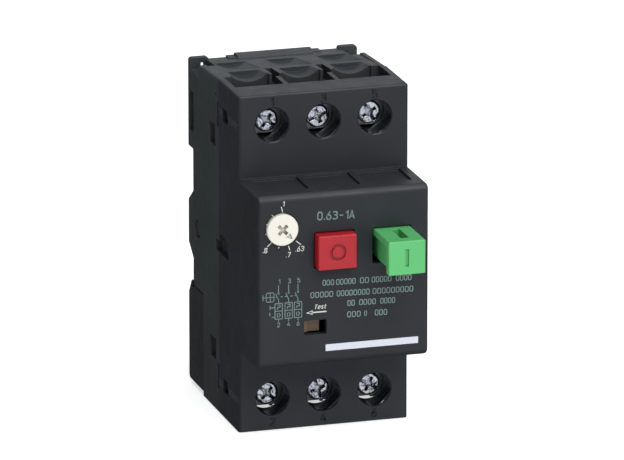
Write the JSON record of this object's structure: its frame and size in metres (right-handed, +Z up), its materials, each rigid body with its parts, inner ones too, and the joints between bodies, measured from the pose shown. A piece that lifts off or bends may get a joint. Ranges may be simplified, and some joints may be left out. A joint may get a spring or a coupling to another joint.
{
  "type": "motor protection breaker",
  "caption": "Three-pole motor protection breaker for a 35 mm rail, with start and stop buttons, setting dial, test slide, screw terminals and sliding rail clip.",
  "frame": {"origin": "middle of the rail seat, on the face that rests against the 35 mm rail", "axes": "+X to the right seen from the front, +Y to the rear into the rail, +Z up"},
  "size_m": [0.045, 0.0764, 0.0888],
  "materials": {
    "housing_black": "matte charcoal moulded polyamide",
    "housing_side": "matte charcoal moulded polyamide",
    "clip_black": "matte black acetal",
    "button_green": "semi-gloss green",
    "button_red": "semi-gloss red",
    "dial_cream": "satin cream white",
    "lever_brown": "satin brown",
    "moving_plastic": "satin beige polyester",
    "trip_plastic": "satin light grey plastic",
    "copper": "bright copper strip",
    "coil_copper": "enamelled copper winding",
    "silver_tip": "silver alloy contact",
    "zinc_steel": "zinc plated steel",
    "screw_zinc": "bright zinc plated steel",
    "spring_steel": "bright spring steel",
    "bimetal_strip": "rolled bimetal strip",
    "heater_wire": "resistance ribbon on a glass sleeve",
    "pin_steel": "turned steel"
  },
  "bodies": {
    "housing": {"rear_base": "housing_side", "front_housing": "housing_black", "din_clip_spring": "spring_steel", "arc_plates": "zinc_steel", "line_bar_1": "copper", "load_bar_1": "copper", "magnet_coil_1": "coil_copper", "coil_yoke_1": "zinc_steel", "bimetal_1": "bimetal_strip", "heater_1": "heater_wire", "line_bar_2": "copper", "load_bar_2": "copper", "magnet_coil_2": "coil_copper", "coil_yoke_2": "zinc_steel", "bimetal_2": "bimetal_strip", "heater_2": "heater_wire", "line_bar_3": "copper", "load_bar_3": "copper", "magnet_coil_3": "coil_copper", "coil_yoke_3": "zinc_steel", "bimetal_3": "bimetal_strip", "heater_3": "heater_wire", "fixed_contact_tips": "silver_tip", "start_spring": "spring_steel", "setting_bracket": "trip_plastic", "mechanism_frame": "zinc_steel", "frame_pins": "pin_steel", "trip_bracket": "trip_plastic"},
    "din_clip": {"din_clip": "clip_black"},
    "start_button": {"start_button": "button_green"},
    "stop_button": {"stop_button": "button_red"},
    "contact_carrier": {"contact_carrier": "moving_plastic", "contact_bridge_1": "copper", "contact_spring_1": "spring_steel", "contact_bridge_2": "copper", "contact_spring_2": "spring_steel", "contact_bridge_3": "copper", "contact_spring_3": "spring_steel"},
    "setting_dial": {"setting_dial": "dial_cream", "setting_cam": "moving_plastic"},
    "setting_lever": {"setting_lever": "trip_plastic"},
    "test_lever": {"test_lever": "lever_brown"},
    "trip_bar": {"trip_bar": "moving_plastic"},
    "toggle_lever": {"toggle_lever": "zinc_steel"},
    "trip_lever": {"trip_lever": "zinc_steel"},
    "plunger_1": {"plunger_1": "pin_steel"},
    "plunger_2": {"plunger_2": "pin_steel"},
    "plunger_3": {"plunger_3": "pin_steel"},
    "clamp_1": {"clamp_plate_1": "zinc_steel"},
    "screw_1": {"terminal_screw_1": "screw_zinc"},
    "clamp_2": {"clamp_plate_2": "zinc_steel"},
    "screw_2": {"terminal_screw_2": "screw_zinc"},
    "clamp_3": {"clamp_plate_3": "zinc_steel"},
    "screw_3": {"terminal_screw_3": "screw_zinc"},
    "clamp_4": {"clamp_plate_4": "zinc_steel"},
    "screw_4": {"terminal_screw_4": "screw_zinc"},
    "clamp_5": {"clamp_plate_5": "zinc_steel"},
    "screw_5": {"terminal_screw_5": "screw_zinc"},
    "clamp_6": {"clamp_plate_6": "zinc_steel"},
    "screw_6": {"terminal_screw_6": "screw_zinc"}
  },
  "joints": [
    {"name": "din_clip_slide", "type": "slide", "parent": "housing", "child": "din_clip", "axis": [0, 0, -1], "range_m": [0, 0.004], "stiffness_N_per_m": 1500, "springref_m": -0.002, "deforming": ["din_clip_spring"]},
    {"name": "start_button_press", "type": "slide", "parent": "housing", "child": "start_button", "axis": [0, 1, 0], "range_m": [0, 0.0065], "stiffness_N_per_m": 900, "springref_m": -0.003, "deforming": ["start_spring"]},
    {"name": "stop_button_slide", "type": "slide", "parent": "housing", "child": "stop_button", "axis": [0, -1, 0], "range_m": [0, 0.0033]},
    {"name": "contact_stroke", "type": "slide", "parent": "housing", "child": "contact_carrier", "axis": [0, 1, 0], "range_m": [0, 0.00255]},
    {"name": "toggle_swing", "type": "hinge", "parent": "housing", "child": "toggle_lever", "pos_m": [0.0034, -0.038, 0], "axis": [-1, 0, 0], "range_deg": [0, 47]},
    {"name": "dial_turn", "type": "hinge", "parent": "housing", "child": "setting_dial", "pos_m": [-0.0162, -0.0585, 0.0139], "axis": [0, 1, 0], "range_deg": [0, 220]},
    {"name": "setting_lever_swing", "type": "hinge", "parent": "housing", "child": "setting_lever", "pos_m": [-0.0124, -0.0475, 0.001], "axis": [0, 1, 0], "range_deg": [0, 5.64]},
    {"name": "test_slide", "type": "slide", "parent": "housing", "child": "test_lever", "axis": [-1, 0, 0], "range_m": [0, 0.0025], "stiffness_N_per_m": 300, "springref_m": -0.001},
    {"name": "trip_bar_slide", "type": "slide", "parent": "housing", "child": "trip_bar", "axis": [-1, 0, 0], "range_m": [0, 0.0026]},
    {"name": "trip_lever_swing", "type": "hinge", "parent": "housing", "child": "trip_lever", "pos_m": [-0.0088, -0.0333, -0.004], "axis": [0, 1, 0], "range_deg": [0, 18.5]},
    {"name": "plunger_1_stroke", "type": "slide", "parent": "housing", "child": "plunger_1", "axis": [0, 1, 0], "range_m": [0, 0.0015], "stiffness_N_per_m": 200, "springref_m": -0.001},
    {"name": "plunger_2_stroke", "type": "slide", "parent": "housing", "child": "plunger_2", "axis": [0, 1, 0], "range_m": [0, 0.0015], "stiffness_N_per_m": 200, "springref_m": -0.001},
    {"name": "plunger_3_stroke", "type": "slide", "parent": "housing", "child": "plunger_3", "axis": [0, 1, 0], "range_m": [0, 0.0015], "stiffness_N_per_m": 200, "springref_m": -0.001},
    {"name": "clamp_1_slide", "type": "slide", "parent": "housing", "child": "clamp_1", "axis": [0, 1, 0], "range_m": [0, 0.0042]},
    {"name": "screw_1_turn", "type": "hinge", "parent": "clamp_1", "child": "screw_1", "pos_m": [-0.0136, -0.035, 0.0362], "axis": [0, 1, 0], "range_deg": [0, 2165]},
    {"name": "clamp_2_slide", "type": "slide", "parent": "housing", "child": "clamp_2", "axis": [0, 1, 0], "range_m": [0, 0.0042]},
    {"name": "screw_2_turn", "type": "hinge", "parent": "clamp_2", "child": "screw_2", "pos_m": [-0.0136, -0.035, -0.0362], "axis": [0, 1, 0], "range_deg": [0, 2165]},
    {"name": "clamp_3_slide", "type": "slide", "parent": "housing", "child": "clamp_3", "axis": [0, 1, 0], "range_m": [0, 0.0042]},
    {"name": "screw_3_turn", "type": "hinge", "parent": "clamp_3", "child": "screw_3", "pos_m": [0, -0.035, 0.0362], "axis": [0, 1, 0], "range_deg": [0, 2165]},
    {"name": "clamp_4_slide", "type": "slide", "parent": "housing", "child": "clamp_4", "axis": [0, 1, 0], "range_m": [0, 0.0042]},
    {"name": "screw_4_turn", "type": "hinge", "parent": "clamp_4", "child": "screw_4", "pos_m": [0, -0.035, -0.0362], "axis": [0, 1, 0], "range_deg": [0, 2165]},
    {"name": "clamp_5_slide", "type": "slide", "parent": "housing", "child": "clamp_5", "axis": [0, 1, 0], "range_m": [0, 0.0042]},
    {"name": "screw_5_turn", "type": "hinge", "parent": "clamp_5", "child": "screw_5", "pos_m": [0.0136, -0.035, 0.0362], "axis": [0, 1, 0], "range_deg": [0, 2165]},
    {"name": "clamp_6_slide", "type": "slide", "parent": "housing", "child": "clamp_6", "axis": [0, 1, 0], "range_m": [0, 0.0042]},
    {"name": "screw_6_turn", "type": "hinge", "parent": "clamp_6", "child": "screw_6", "pos_m": [0.0136, -0.035, -0.0362], "axis": [0, 1, 0], "range_deg": [0, 2165]}
  ],
  "couplings": [
    {"joint": "stop_button_slide", "follows": "start_button_press", "ratio": 0.5},
    {"joint": "contact_stroke", "follows": "start_button_press", "ratio": 0.38461},
    {"joint": "toggle_swing", "follows": "start_button_press", "rad_per_m": 123.52},
    {"joint": "dial_turn", "follows": "setting_lever_swing", "ratio": 39},
    {"joint": "trip_bar_slide", "follows": "test_slide", "ratio": 1},
    {"joint": "trip_lever_swing", "follows": "test_slide", "rad_per_m": 125.66},
    {"joint": "screw_1_turn", "follows": "clamp_1_slide", "rad_per_m": 8976},
    {"joint": "screw_2_turn", "follows": "clamp_2_slide", "rad_per_m": 8976},
    {"joint": "screw_3_turn", "follows": "clamp_3_slide", "rad_per_m": 8976},
    {"joint": "screw_4_turn", "follows": "clamp_4_slide", "rad_per_m": 8976},
    {"joint": "screw_5_turn", "follows": "clamp_5_slide", "rad_per_m": 8976},
    {"joint": "screw_6_turn", "follows": "clamp_6_slide", "rad_per_m": 8976}
  ]
}
